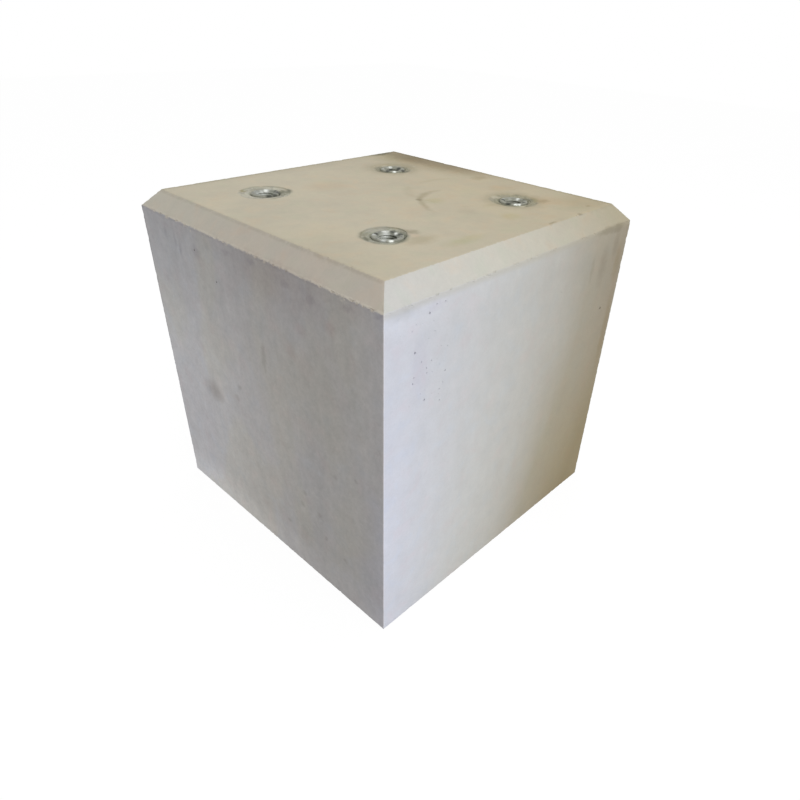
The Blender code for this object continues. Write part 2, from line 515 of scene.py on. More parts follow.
def on_face(face, along, height):
    """The place on an upright face, from millimetres along it and up."""
    run = Vector((abs(face.y), abs(face.x), 0.0))
    return face * HALF_WIDTH + run * along * MM + Vector((0.0, 0.0, height * MM))


def clear_of(place, gap, pits):
    """Whether a place is at least a gap away from every air hole."""
    return all((place - other).length > gap + wide for other, _, wide in pits)


def pit_places(settings):
    """Every air hole as its place, the face's normal and its width."""
    draw = random.Random(41)
    pits = []
    for face, seen in ((PALE_FACE, PALE_FACE_PITS), (GREY_FACE, GREY_FACE_PITS)):
        pits += [(on_face(face, along, height), face, width * MM) for along, height, width in seen]
    hidden = [(face, *HIDDEN_PATCH, settings.hidden_pits, *HIDDEN_WIDTHS) for face in (BACK_FACE, FAR_FACE)]
    for face, middle, reach, count, least, most in [*STREWN_PITS, *hidden]:
        for _ in range(count):
            along, height = (at + draw.uniform(-part, part) for at, part in zip(middle, reach))
            width = (least + (most - least) * draw.random() ** 2.2) * MM
            place = on_face(face, along, height)
            if clear_of(place, 1.5 * MM + width, pits):
                pits.append((place, face, width))
    for face, height, count, least, most in LEVEL_PITS:
        for _ in range(count):
            x, y = (draw.uniform(BLOCK_LOW.x + LEVEL_MARGIN, BLOCK_HIGH.x - LEVEL_MARGIN) for _ in "xy")
            width = (least + (most - least) * draw.random() ** 2.0) * MM
            place = Vector((x, y, height))
            off_seats = all(math.hypot(x - m.x, y - m.y) > settings.recess_diameter for m in MOUTHS.values())
            if off_seats and clear_of(place, 3.0 * MM + width, pits):
                pits.append((place, face, width))
    return pits


def arris_lines(leg):
    """Every arris as its two ends, its outward direction and how often it is chipped."""
    x, y, top, low = BLOCK_HIGH.x, BLOCK_HIGH.y, BLOCK_HIGH.z, BLOCK_LOW.z
    shoulder = top - leg
    lines = []
    for side in (GREY_FACE, PALE_FACE, FAR_FACE, BACK_FACE):
        run = Vector((abs(side.y), abs(side.x), 0.0))
        for height, reach, outward, spacing in (
            (top, x - leg, TOP_FACE + side * 0.4, 0.150 if side == GREY_FACE else 0.060),
            (shoulder, x, TOP_FACE * 0.4 + side, 0.100 if side == PALE_FACE else 0.024),
            (low, x, UNDERSIDE + side, 0.030),
        ):
            inset = leg if height == top else 0.0
            middle = side * (y - inset) + Vector((0.0, 0.0, height))
            lines.append((middle - run * reach, middle + run * reach, outward.normalized(), spacing))
    for sx in (-1.0, 1.0):
        for sy in (-1.0, 1.0):
            foot = Vector((sx * x, sy * y, low))
            head = Vector((sx * x, sy * y, shoulder))
            lines.append((foot, head, Vector((sx, sy, 0.0)).normalized(), 0.055))
    return lines


CHIP_MARGIN = 5.0 * MM
# The one chip that shows well, on the top's arris over the pale side: its place, size and depth
SEEN_CHIP = (85.4 * MM, 3.4 * MM, 0.9 * MM)


def chip_places(settings):
    """Every arris chip as the middle, size and stretch of the ball that scoops it."""
    draw = random.Random(7)
    chips = []
    for start, end, outward, spacing in arris_lines(settings.chamfer_leg):
        length = (end - start).length
        along = (end - start).normalized()
        at = CHIP_MARGIN + draw.uniform(0.0, spacing)
        while at < length - CHIP_MARGIN:
            radius = draw.uniform(1.3, 3.2) * MM
            depth = draw.uniform(0.25, 0.8) * MM
            middle = start + along * at + outward * (radius - depth)
            chips.append((middle, radius, along))
            at += max(6.0 * MM, draw.expovariate(1.0 / spacing))
    x, radius, depth = SEEN_CHIP
    edge = Vector((x, BLOCK_LOW.y + settings.chamfer_leg, BLOCK_HIGH.z))
    chips.append((edge + TOP_FACE * (radius - depth), radius, Vector((1.0, 0.0, 0.0))))
    return chips


def ball_sample():
    """One rough ball, of which each copy scoops a hole or a chip."""
    bpy.ops.mesh.primitive_ico_sphere_add(subdivisions=2, radius=1.0)
    ball = name_new("scoop_sample")
    for vertex in ball.data.vertices:
        vertex.co *= 1.0 + 0.28 * noise.noise(vertex.co * 1.7)
    return ball


def scoops(settings):
    """One cutter of many balls: air holes in the faces and chips along the arrises."""
    sample = ball_sample()
    balls = []
    draw = random.Random(12)
    for number, (place, face, width) in enumerate(pit_places(settings)):
        ball = copy_of(sample, f"pit_{number}")
        ball.location = place - face * width * 0.16
        ball.rotation_euler = [draw.uniform(0.0, math.tau) for _ in range(3)]
        ball.scale = [width / 2 * draw.uniform(0.85, 1.15) for _ in range(3)]
        balls.append(ball)
    for number, (place, radius, along) in enumerate(chip_places(settings)):
        ball = copy_of(sample, f"chip_{number}")
        ball.location = place
        stretch = Vector((1.0, 1.0, 1.0)) + Vector(abs(step) for step in along) * draw.uniform(0.0, 0.8)
        ball.scale = stretch * radius
        balls.append(ball)
    bpy.data.objects.remove(sample, do_unlink=True)
    bpy.ops.object.select_all(action="DESELECT")
    for ball in balls:
        ball.select_set(True)
    bpy.context.view_layer.objects.active = balls[0]
    bpy.ops.object.transform_apply(location=True, rotation=True, scale=True)
    return joined(balls, "scoops")


class Flow:
    """One output of a node.  Used in a sum, it adds the Math nodes for it."""

    def __init__(self, sheet, socket):
        self.sheet = sheet
        self.socket = socket

    def other(self, output):
        """Another output of the same node."""
        return Flow(self.sheet, self.socket.node.outputs[output])

    def maths(self, operation, first, second=0.0):
        return self.sheet.node("ShaderNodeMath", {"operation": operation}, {0: first, 1: second})

    def __add__(self, value):
        return self.maths("ADD", self, value)

    def __radd__(self, value):
        return self.maths("ADD", value, self)

    def __sub__(self, value):
        return self.maths("SUBTRACT", self, value)

    def __rsub__(self, value):
        return self.maths("SUBTRACT", value, self)

    def __mul__(self, value):
        return self.maths("MULTIPLY", self, value)

    def __rmul__(self, value):
        return self.maths("MULTIPLY", value, self)

    def __truediv__(self, value):
        return self.maths("DIVIDE", self, value)

    def __pow__(self, value):
        return self.maths("POWER", self, value)

    def __abs__(self):
        return self.maths("ABSOLUTE", self)

    def least(self, value):
        return self.maths("MINIMUM", self, value)

    def most(self, value):
        return self.maths("MAXIMUM", self, value)

    def rise(self, low, high):
        """0 at low and 1 at high, with soft ends.  With high below low it falls."""
        return self.sheet.node(
            "ShaderNodeMapRange",
            {"interpolation_type": "SMOOTHSTEP"},
            {"Value": self, "From Min": low, "From Max": high},
        )


class Sheet:
    """The node tree of one finish."""

    def __init__(self, tree):
        self.tree = tree
        tree.nodes.clear()

    def node(self, kind, settings=None, sockets=None, output=0):
        """Add a node: its type, its settings, the values or links of its sockets."""
        made = self.tree.nodes.new(kind)
        for name, value in (settings or {}).items():
            if name == "stops":
                self.fill_ramp(made.color_ramp, value)
            else:
                setattr(made, name, value)
        for name, value in (sockets or {}).items():
            if isinstance(value, Flow):
                self.tree.links.new(value.socket, made.inputs[name])
            else:
                made.inputs[name].default_value = value
        return Flow(self, made.outputs[output]) if made.outputs else None

    @staticmethod
    def fill_ramp(ramp, stops):
        while len(ramp.elements) < len(stops):
            ramp.elements.new(1.0)
        for element, (position, colour) in zip(ramp.elements, stops):
            element.position = position
            element.color = (*colour, 1.0)

    def place(self):
        """Object coordinates, which are the row frame's."""
        return self.node("ShaderNodeTexCoord", output="Object")

    def parts(self, vector):
        """The three numbers of a vector."""
        x = self.node("ShaderNodeSeparateXYZ", sockets={0: vector})
        return x, x.other(1), x.other(2)

    def vector(self, operation, first, second):
        return self.node("ShaderNodeVectorMath", {"operation": operation}, {0: first, 1: second})

    def distance(self, vector):
        """How long a vector is."""
        return self.node("ShaderNodeVectorMath", {"operation": "LENGTH"}, {0: vector}, "Value")

    def from_parts(self, x, y, z):
        return self.node("ShaderNodeCombineXYZ", sockets={0: x, 1: y, 2: z})

    def cloud(self, place, size, detail=2.0, roughness=0.5, distortion=0.0):
        """Soft noise about 0.5, its patches about size metres across."""
        return self.node(
            "ShaderNodeTexNoise",
            sockets={
                "Vector": place,
                "Scale": 1.0 / size,
                "Detail": detail,
                "Roughness": roughness,
                "Distortion": distortion,
            },
        )

    def cells(self, place, size, output="Distance"):
        """Voronoi cells about size metres across."""
        return self.node("ShaderNodeTexVoronoi", None, {"Vector": place, "Scale": 1.0 / size}, output)

    def mix(self, share, first, second, blend="MIX"):
        """Mix two colours."""
        sockets = {0: share, 6: self.colour(first), 7: self.colour(second)}
        return self.node("ShaderNodeMix", {"data_type": "RGBA", "blend_type": blend}, sockets, 2)

    @staticmethod
    def colour(value):
        return value if isinstance(value, Flow) else (*value[:3], 1.0)

    def scaled(self, colour, amount):
        """A colour made lighter or darker by a number."""
        return self.node("ShaderNodeVectorMath", {"operation": "SCALE"}, {0: colour, "Scale": amount})

    def ramp(self, value, stops):
        """A colour picked along a value from 0 to 1."""
        return self.node("ShaderNodeValToRGB", {"stops": stops}, {0: value})

    def patch(self, place, middle, reach, soft=0.6):
        """1 in an ellipsoid round a place, fading out towards its skin."""
        steps = tuple(1.0 / part for part in reach)
        shift = tuple(-at / part for at, part in zip(middle, reach))
        sockets = {0: place, 1: steps, 2: shift}
        share = self.node("ShaderNodeVectorMath", {"operation": "MULTIPLY_ADD"}, sockets)
        return self.distance(share).rise(1.0, 1.0 - soft)

    def patches(self, place, shapes, soft=0.6):
        """1 in any of several ellipsoids, each a middle and its reach."""
        masks = [self.patch(place, middle, reach, soft) for middle, reach in shapes]
        mask = masks[0]
        for other in masks[1:]:
            mask = mask.most(other)
        return mask

    def tinted(self, share, colour, tint):
        """A colour times a tint, as far as the share says."""
        return self.mix(share, colour, tint, "MULTIPLY")

    def bump(self, height, distance, strength):
        """The surface's normal, roughened by a height."""
        sockets = {"Height": height, "Distance": distance, "Strength": strength}
        return self.node("ShaderNodeBump", sockets=sockets)

    def finish(self, **sockets):
        """The Principled shader and the material output."""
        names = {name.replace("_", " "): value for name, value in sockets.items()}
        shader = self.node("ShaderNodeBsdfPrincipled", sockets=names)
        self.node("ShaderNodeOutputMaterial", sockets={"Surface": shader})


def new_finish(name, kind=Sheet, *settings):
    """A material and the sheet of its nodes."""
    material = bpy.data.materials.new(name)
    material.use_nodes = True
    return material, kind(material.node_tree, *settings)


def toned(colour, factor):
    """A colour times a number or another colour."""
    factors = factor if hasattr(factor, "__len__") else (factor,) * 3
    return tuple(part * share for part, share in zip(colour, factors))


def shades(colour, steps):
    """The stops of a ramp, each a place and what it multiplies the colour by."""
    return [(at, toned(colour, factor)) for at, factor in steps]


def from_axis(x, y):
    """How far a place is from the axis of the nearest socket."""
    mouth = MOUTHS["back_right"]
    fold_x = abs(x) - mouth.x
    fold_y = abs(y) - mouth.y
    return (fold_x * fold_x + fold_y * fold_y) ** 0.5


# Shades of a face's colour, each at its place from 0 to 1; on the pale side and its chamfer they are painted
# key light, falling off from the front corner
PALE_SIDE_SHADES = (
    (0.03, 1.0),
    (0.17, (0.948, 0.940, 0.894)),
    (0.36, (0.861, 0.840, 0.742)),
    (0.53, (0.751, 0.713, 0.593)),
    (0.69, (0.570, 0.503, 0.356)),
    (0.80, (0.509, 0.431, 0.290)),
)
PALE_SIDE_END = 0.93
PALE_CHAMFER_SHADES = (
    (0.05, 1.0),
    (0.28, (0.990, 0.975, 0.915)),
    (0.5, (0.933, 0.900, 0.800)),
    (0.95, (0.712, 0.636, 0.469)),
)
GREY_CHAMFER_SHADES = ((0.35, (0.99, 1.00, 1.01)), (0.65, (1.03, 1.01, 1.00)))
HIDDEN_SHADES = ((0.3, 0.92), (0.7, (1.06, 1.06, 1.08)))
TOP_SHADES = ((0.3, (0.93, 0.94, 0.95)), (0.55, 1.0), (0.75, (1.04, 1.02, 0.98)))

# Stains by tint, with one painted shadow on the pale side: the place along a side and up it, or across the
# top and back, then the half sizes, in mm
GREY_STAINS = (
    ((0.78, 0.75, 0.73), ((77, 134, 22, 16),)),
    ((0.9, 0.87, 0.87), ((-45, 275, 90, 30),)),
    (
        (0.87, 0.86, 0.88),
        (
            (-116.3, 279.8, 10, 4), (-145, 283, 6, 3), (-79.9, 273.4, 9, 6), (-52.9, 276, 7, 5),
            (-12.1, 280.5, 9, 4), (20.8, 279, 8, 4), (66, 267, 9, 8), (113.7, 273.2, 4, 8),
            (98.8, 268.5, 3, 9), (91.6, 262, 3, 11),
        ),
    ),
    (
        (0.84, 0.83, 0.82),
        (
            (36, 144, 6, 4), (-53.2, 90.5, 4, 4), (-95.9, 133, 3.5, 4), (-120.5, 141.9, 3.5, 3.5),
            (-78.7, 55.6, 4, 3.5), (29, 157.4, 5, 4), (-49.2, 75.2, 4, 3.5), (-72.7, 78.1, 3.5, 4),
            (-103.1, 47.4, 4, 4), (-25.8, 40.6, 4, 3.5), (-15, 204, 3.5, 20),
        ),
    ),
    ((0.97, 0.92, 0.92), ((-99.3, 258.7, 9, 8), (-65.9, 246.6, 10, 8), (-51.5, 225.5, 9, 9))),
)
PALE_STAINS = (
    # The first dab of this tint is painted shadow: a soft line under the chamfer at the front corner
    ((0.9, 0.9, 0.89), ((-134, 281.5, 18, 6), (96, 252, 4, 17))),
    ((0.965, 0.95, 0.975), ((-117, 236, 13, 34), (-104, 279, 14, 6))),
    ((0.79, 0.78, 0.75), ((112, 284.5, 28, 4.5), (129, 284, 14, 6))),
    ((0.87, 0.86, 0.85), ((114.5, 252, 10, 26), (131.5, 268, 7, 18))),
    ((0.9, 0.86, 0.78), ((140, 250, 8, 26), (143, 180, 7, 60))),
)
TOP_STAINS = (
    (
        (0.7, 0.68, 0.64),
        (
            (11, -22.5, 4, 4), (45, -135, 9, 1.8), (84.5, -134.5, 4, 2.4), (130, 85, 28, 130),
            (-59.5, -77, 8, 8), (-56, -81.4, 8, 8),
        ),
    ),
    ((1.05, 0.99, 0.97), ((-61, -88, 6, 6),)),
    (
        (0.84, 0.82, 0.76),
        (
            (-71, -90, 6, 6), (-65.5, -94.5, 6.5, 6.5), (-64, -97, 22, 12), (94.1, -93.5, 9, 7),
            (111.2, -126.9, 5, 2.4), (114, -4, 13, 9),
        ),
    ),
    ((0.62, 0.62, 0.55), ((75, -75, 36, 36), (75, 75, 36, 36))),
    ((0.44, 0.47, 0.4), ((113, 133, 20, 9),)),
    ((0.76, 0.72, 0.64), ((126, 62, 40, 88), (136, 36, 14, 44))),
    ((0.87, 0.86, 0.81), ((122, -118, 46, 34), (126, 110, 50, 50))),
    ((0.94, 0.94, 0.93), ((-130, -85, 46, 90), (0, 133, 150, 18), (15.3, -71, 14, 12))),
    ((0.92, 0.9, 0.83), ((120, 112, 44, 44),)),
    ((0.93, 0.94, 0.84), ((20, -33, 13, 12), (34, -103, 15, 13), (-40, -118, 30, 9))),
    ((0.98, 0.93, 0.89), ((98, -42, 18, 15), (97, -92, 24, 20), (-20, 60, 30, 24))),
)
STAINS = {"grey": GREY_STAINS, "pale": PALE_STAINS, "top": TOP_STAINS}
# Lines and dabs round each socket by tint: across and back from its axis, then the half sizes, in mm
SEAT_SMEARS = (
    (
        (0.76, 0.81, 0.88),
        {
            "front_left": ((0.3, 17.8, 9.5, 5.5), (7.6, 16, 8, 5.5), (-17.7, -2, 4, 5.5)),
            "back_left": ((-21.1, -3.4, 4.5, 8),),
            "back_right": ((14.5, 6.7, 6, 8),),
        },
    ),
    (
        (0.98, 1.03, 1.08),
        {
            "front_left": ((12.4, -15, 6, 6),),
            "back_left": ((-14.4, -3, 7, 9), (-16.2, 6.2, 6.5, 8), (-8.2, -17, 8, 5.5)),
            "front_right": ((-2.3, 17.5, 8, 5.5), (-8.5, -15, 6, 4.5)),
            "back_right": ((-10.2, -15.5, 8, 4.5), (3.5, 15.5, 8, 4)),
        },
    ),
    (
        (0.66, 0.69, 0.71),
        {
            "front_left": ((-14.1, -16.3, 8, 6.5), (5.5, -20, 10, 4.5)),
            "back_left": ((17, -3, 7, 9), (17, -12, 7.5, 6), (1.6, 15.6, 12, 4.5)),
            "front_right": ((-10.5, 15.6, 8, 6.5), (-17, -8.2, 6.5, 8), (6.6, 14.5, 8, 5)),
        },
    ),
    (
        (0.61, 0.62, 0.49),
        {"front_right": ((18.3, -10.7, 9, 8),), "back_left": ((-10.8, 16.5, 7, 4), (-4.6, -20, 8, 4))},
    ),
    (
        (0.53, 0.56, 0.54),
        {
            "front_left": (
                (-17.3, 7.6, 8, 9.5), (-11, 13.8, 8, 6), (-18.6, -7.5, 6, 8), (-7.3, -18.6, 11, 5),
            ),
            "back_left": ((13.5, -5.5, 7, 9), (8, -12.5, 7.5, 5.5)),
            "front_right": ((-15.2, 3, 6.5, 7), (-3.6, -19.4, 11, 5.5), (2, -16, 8, 5.5)),
            "back_right": ((-8.5, 12.5, 8, 7), (-18, 3.3, 7, 8), (15, -3.6, 5.5, 8)),
        },
    ),
    (
        (0.37, 0.41, 0.39),
        {
            "front_left": ((1.3, -15.4, 10, 5.5), (9.8, -11.2, 6.5, 7), (-16.5, 5, 5, 6)),
            "back_left": ((4, -13.5, 9, 5), (13.5, -5.5, 9, 8), (18.5, -7, 9, 7)),
            "front_right": ((-14.4, -3.2, 6.5, 8), (13.4, -6.5, 6.5, 7)),
            "back_right": ((-15, -4.3, 7, 8), (4, -14.2, 10, 6)),
        },
    ),
)
# Faint arcs on the top: tint, middle, radius, line width, where it shows and how far, in mm, and its breaks
ARC_STAINS = (
    ((0.77, 0.75, 0.69), (46.5, -63), 53, 4.6, (16, -27), (46, 46), 0.3),
    ((0.91, 0.9, 0.87), (62, -30), 50, 7, (60, -25), (90, 75), 1),
)
# The plate's mark at each socket: its tint, its radius in millimetres and how strongly its edge is drawn, in
# dirt and painted shade of the recess's wall
PLATE_MARKS = {
    "front_left": ((0.66, 0.73, 0.76), 19.7, 0.6),
    "front_right": ((0.6, 0.65, 0.64), 20, 0),
    "back_left": ((0.86, 0.92, 0.99), 21, 0.45),
    "back_right": ((0.62, 0.66, 0.62), 17.5, 0),
}
STAIN_DEPTH = 4.0


def stain_shape(face, a, b, reach_a, reach_b):
    """The middle and half size of a stain, from its millimetres on a side or the top."""
    middle, reach = {
        "grey": ((BLOCK_LOW.x / MM, a, b), (STAIN_DEPTH, reach_a, reach_b)),
        "pale": ((a, BLOCK_LOW.y / MM, b), (reach_a, STAIN_DEPTH, reach_b)),
        "top": ((a, b, BLOCK_HIGH.z / MM), (reach_a, reach_b, STAIN_DEPTH)),
    }[face]
    return toned(middle, MM), toned(reach, MM)


def smear_shapes(dabs):
    """The shapes of the dabs of one tint, at whichever sockets they are."""
    return [
        stain_shape("top", MOUTHS[corner].x / MM + a, MOUTHS[corner].y / MM + b, reach_a, reach_b)
        for corner, spots in dabs.items()
        for a, b, reach_a, reach_b in spots
    ]


class ConcreteSheet(Sheet):
    """The finish of the cast concrete: masks of its faces, and layers of colour laid on in turn."""

    def __init__(self, tree, settings):
        super().__init__(tree)
        self.settings = settings
        self.at = self.place()
        self.x, self.y, self.z = self.parts(self.at)
        self.from_axis = from_axis(self.x, self.y)
        self.under_top = BLOCK_HIGH.z - self.z
        self.under_shoulder = self.under_top - settings.chamfer_leg
        self.from_grey = self.x + HALF_WIDTH
        self.from_pale = self.y + HALF_WIDTH
        self.from_back = HALF_WIDTH - self.y
        self.from_hidden = (HALF_WIDTH - self.x).least(self.from_back)
        self.from_side = self.from_grey.least(self.from_pale).least(self.from_hidden)
        self.across = self.from_grey / (2.0 * HALF_WIDTH)
        self.along = self.from_pale / (2.0 * HALF_WIDTH)
        self.down = self.under_top / BLOCK_HIGH.z

        ragged = self.cloud(self.at, 2.2 * MM, 2.0)
        share = self.from_side / (self.from_side + self.under_top + 0.01 * MM)
        self.share = share + (ragged - 0.5) * 0.05
        self.on_top = self.share.rise(0.95, 0.985)
        self.on_side = self.share.rise(0.06, 0.03)
        self.pale = (self.from_grey.least(self.from_hidden) - self.from_pale).rise(-0.2 * MM, 0.2 * MM)
        self.grey = (self.from_pale.least(self.from_hidden) - self.from_grey).rise(-0.2 * MM, 0.2 * MM)
        self.grey_side = self.grey * self.on_side

        self.mottle = self.cloud(self.at, 14.0 * MM, 4.0, 0.6)
        self.speckle = self.cloud(self.at, 4.5 * MM, 3.0, 0.65)
        self.grain = self.cloud(self.at, 1.6 * MM, 3.0, 0.7)
        self.streaks = self.cloud(self.drawn_out(0.12), 13.0 * MM, 3.0, 0.6)
        self.top_drift = self.cloud(self.at, 55.0 * MM, 3.0, 0.55)
        # The pale chamfer's tone, with the key light painted in from the front corner
        chamfer_shades = shades(settings.bright_chamfer_colour, PALE_CHAMFER_SHADES)
        self.pale_chamfer = self.ramp(self.across, chamfer_shades)
        warp = self.node("ShaderNodeTexNoise", sockets={"Vector": self.at, "Scale": 140.0}, output="Color")
        warp = self.vector("SUBTRACT", warp, (0.5, 0.5, 0.5))
        self.ragged_at = self.vector("ADD", self.at, self.vector("MULTIPLY", warp, (6.0 * MM,) * 3))

    def drawn_out(self, rise):
        """Places squeezed in height, which draws a pattern out down the sides."""
        return self.vector("MULTIPLY", self.at, (1.0, 1.0, rise))

    def layered(self, colour, layers):
        """A colour under several tints, each with its mask."""
        for share, tint in layers:
            colour = self.tinted(share, colour, tint)
        return colour

    def pale_side_tone(self):
        """The pale side, from bluish white at the front corner to buff at the far end: painted key light that
        falls off along the side, lighter towards the foot.
        """
        settings, down, across = self.settings, self.down, self.across
        drift = self.cloud(self.drawn_out(0.35), 60.0 * MM, 3.0)
        shift = (across + (drift - 0.5) * 0.10 + 0.21 * down * down) / 1.2
        stops = [*shades(settings.pale_colour, PALE_SIDE_SHADES), (PALE_SIDE_END, settings.buff_colour)]
        tone = self.scaled(self.ramp(shift, stops), 1.0 + 0.15 * down + 0.05 * down.rise(0.14, 0.07))
        # Painted light: bluer at the foot near the front corner, yellower at the far foot
        near_foot = down * across.rise(0.35, 0.0)
        far_foot = down.rise(0.3, 0.9) * across.rise(0.55, 0.85)
        return self.layered(tone, ((near_foot, (1.0, 1.01, 1.08)), (far_foot, (0.97, 0.95, 0.84))))

    def grey_side_tone(self):
        """The grey side, lightest and bluest at its far foot; its bluish cast is painted cool side light."""
        far = self.along.rise(0.15, 0.9)
        lift = 0.94 + far * (0.08 + 0.32 * self.down.rise(0.05, 0.5))
        lift = lift + self.down.rise(0.85, 1.0) * (0.16 + 0.20 * far)
        tone = self.scaled(tuple(self.settings.grey_colour), lift)
        far_tint = (self.along.rise(0.4, 0.95), (1.0, 1.025, 1.065))
        near_tint = (self.along.rise(0.14, 0.0), (1.0, 1.01, 1.08))
        return self.layered(tone, (far_tint, near_tint))

    def grey_chamfer_tone(self):
        """The chamfer over the grey side, with a faint blush."""
        blush = self.cloud(self.at, 26.0 * MM, 2.0)
        tone = self.ramp(blush, shades(self.settings.chamfer_colour, GREY_CHAMFER_SHADES))
        far_tint = (self.along.rise(0.3, 1.0), (1.03, 1.05, 1.04))
        near_tint = (self.along.rise(0.9, 0.4), (1.0, 0.98, 0.98))
        return self.layered(tone, (far_tint, near_tint))

    def top_tone(self):
        """The top, browner towards its far corner."""
        tone = self.ramp(self.top_drift, shades(self.settings.top_colour, TOP_SHADES))
        far = ((self.x - self.y * 0.35) / (2.0 * HALF_WIDTH)).rise(-0.3, 0.62)
        return self.tinted(far, tone, (0.93, 0.89, 0.80))

    def by_side(self, hidden, pale, grey):
        """Of three tones, the one of the side that a place is on or over."""
        return self.mix(self.grey, self.mix(self.pale, hidden, pale), grey)

    def face_tones(self):
        """Each face in its tone, the sides and the chamfers with the light that falls on them painted in."""
        drift = self.cloud(self.at, 90.0 * MM, 3.0)
        hidden = self.ramp(drift, shades(self.settings.hidden_colour, HIDDEN_SHADES))
        side = self.by_side(hidden, self.pale_side_tone(), self.grey_side_tone())
        chamfer = self.by_side(hidden, self.pale_chamfer, self.grey_chamfer_tone())
        return self.mix(self.on_side, self.mix(self.on_top, chamfer, self.top_tone()), side)

    def clouded(self, colour):
        """Faint clouds of colour: pinkish to olive on the top, pinkish to bluish on the sides."""
        hue = self.cloud(self.at, 19.0 * MM, 3.0, 0.6, 0.4)
        slow = self.cloud(self.drawn_out(0.5), 75.0 * MM, 2.0, 0.5, 0.6)
        warm = self.mix(self.on_side, (1.03, 0.985, 0.955), (1.02, 0.985, 0.985))
        cool = self.mix(self.on_side, (0.975, 1.005, 0.985), (0.98, 1.0, 1.025))
        layers = (
            (hue.rise(0.5, 0.72), warm),
            (hue.rise(0.5, 0.28), cool),
            (slow.rise(0.45, 0.60) * self.grey_side, (1.02, 1.01, 0.955)),
            (slow.rise(0.45, 0.32) * self.grey_side, (0.98, 0.97, 0.98)),
        )
        return self.layered(colour, layers)

    def mottled(self, colour):
        """Mottling from slow clouds down to the grain of the paste, and form streaks on the sides."""
        tone = 1.0 + (self.mottle - 0.5) * (0.16 + 0.14 * self.grey_side)
        tone = tone + (self.streaks - 0.5) * self.on_side * (0.07 + 0.10 * self.grey)
        tone = tone + (self.speckle - 0.5) * (0.07 + 0.20 * self.grey_side)
        tone = tone + (self.grain - 0.5) * (0.12 + 0.12 * self.grey_side)
        return self.scaled(colour, tone)

    def edged(self, colour):
        """The arrises: the top's far ones dark, the near upright one and the nibbled lower ones pale, and
        painted shade along both arrises of the grey chamfer.
        """
        off_top = 1.0 - self.on_top
        speckle, under = self.speckle, self.under_shoulder
        far_edge = self.on_top * (self.from_hidden - self.settings.chamfer_leg).rise(7.0 * MM, 1.0 * MM)
        # Painted shade along the top and the foot of the grey chamfer
        upper_lip_shade = off_top * self.grey * self.share.rise(0.80, 0.92) * speckle.rise(0.3, 0.55)
        under_lip_shade = self.grey_side * under.rise(2.6 * MM, 0.6 * MM) * speckle.rise(0.35, 0.6)
        layers = (
            (far_edge, (0.75, 0.75, 0.69)),
            (upper_lip_shade, (0.88, 0.87, 0.84)),
            (under_lip_shade, (0.84, 0.83, 0.84)),
        )
        colour = self.layered(colour, layers)
        # The pale side's lip takes the pale chamfer's tone, with its painted key light
        pale_lip = self.on_side * self.pale * under.rise(6.0 * MM, 0.0)
        colour = self.mix(pale_lip * 0.7, colour, self.scaled(self.pale_chamfer, 0.93))
        skirt = self.grey_side * under.rise(18.0 * MM, 2.0 * MM)
        colour = self.tinted(skirt, colour, (0.95, 0.94, 0.94))
        nibbles = self.share.rise(0.012, 0.03) * self.share.rise(0.13, 0.07) * speckle.rise(0.34, 0.52)
        colour = self.mix(nibbles * self.grey * 0.75, colour, toned(self.settings.chamfer_colour, 1.18))
        near_line = self.from_grey.most(self.from_pale).rise(1.5 * MM, 0.5 * MM) * off_top * 0.8
        back_line = self.grey_side * self.from_back.rise(2.6 * MM, 0.8 * MM)
        return self.layered(colour, ((near_line, (1.12, 1.10, 1.08)), (back_line, (0.76, 0.76, 0.78))))

    def stained(self, colour):
        """The stains of each face and the arcs on the top."""
        for face, stains in STAINS.items():
            for tint, spots in stains:
                shapes = [stain_shape(face, *spot) for spot in spots]
                colour = self.tinted(self.patches(self.ragged_at, shapes, 0.8), colour, tint)
        flat = self.from_parts(self.x, self.y, 0.0)
        for tint, (middle_x, middle_y), reach, line, shown, shown_reach, breaks in ARC_STAINS:
            arc = self.distance(self.vector("SUBTRACT", flat, (middle_x * MM, middle_y * MM, 0.0)))
            arc = abs(arc + (self.top_drift - 0.5) * 0.02 - reach * MM).rise(line * MM, 0.0)
            arc = arc * self.patch(self.ragged_at, *stain_shape("top", *shown, *shown_reach)) * self.on_top
            colour = self.tinted(arc * (1.0 - breaks * self.mottle.rise(0.56, 0.44)), colour, tint)
        return colour

    def by_corner(self, values):
        """Of four colours, one for each socket, the one of the nearest socket."""
        to_back = self.y.rise(-MM, MM)
        left = self.mix(to_back, values["front_left"], values["back_left"])
        right = self.mix(to_back, values["front_right"], values["back_right"])
        return self.mix(self.x.rise(-MM, MM), left, right)

    def filled(self):
        """How far the slurry fills in the recess of its corner, from 0 to 1."""
        mouth = MOUTHS[FILL_CORNER]
        towards = (self.x - mouth.x) * math.cos(FILL_TURN) + (self.y - mouth.y) * math.sin(FILL_TURN)
        share = (towards / (self.from_axis + MM)).most(0.0)
        return share * share * self.x.rise(MM, -MM) * self.y.rise(MM, -MM)

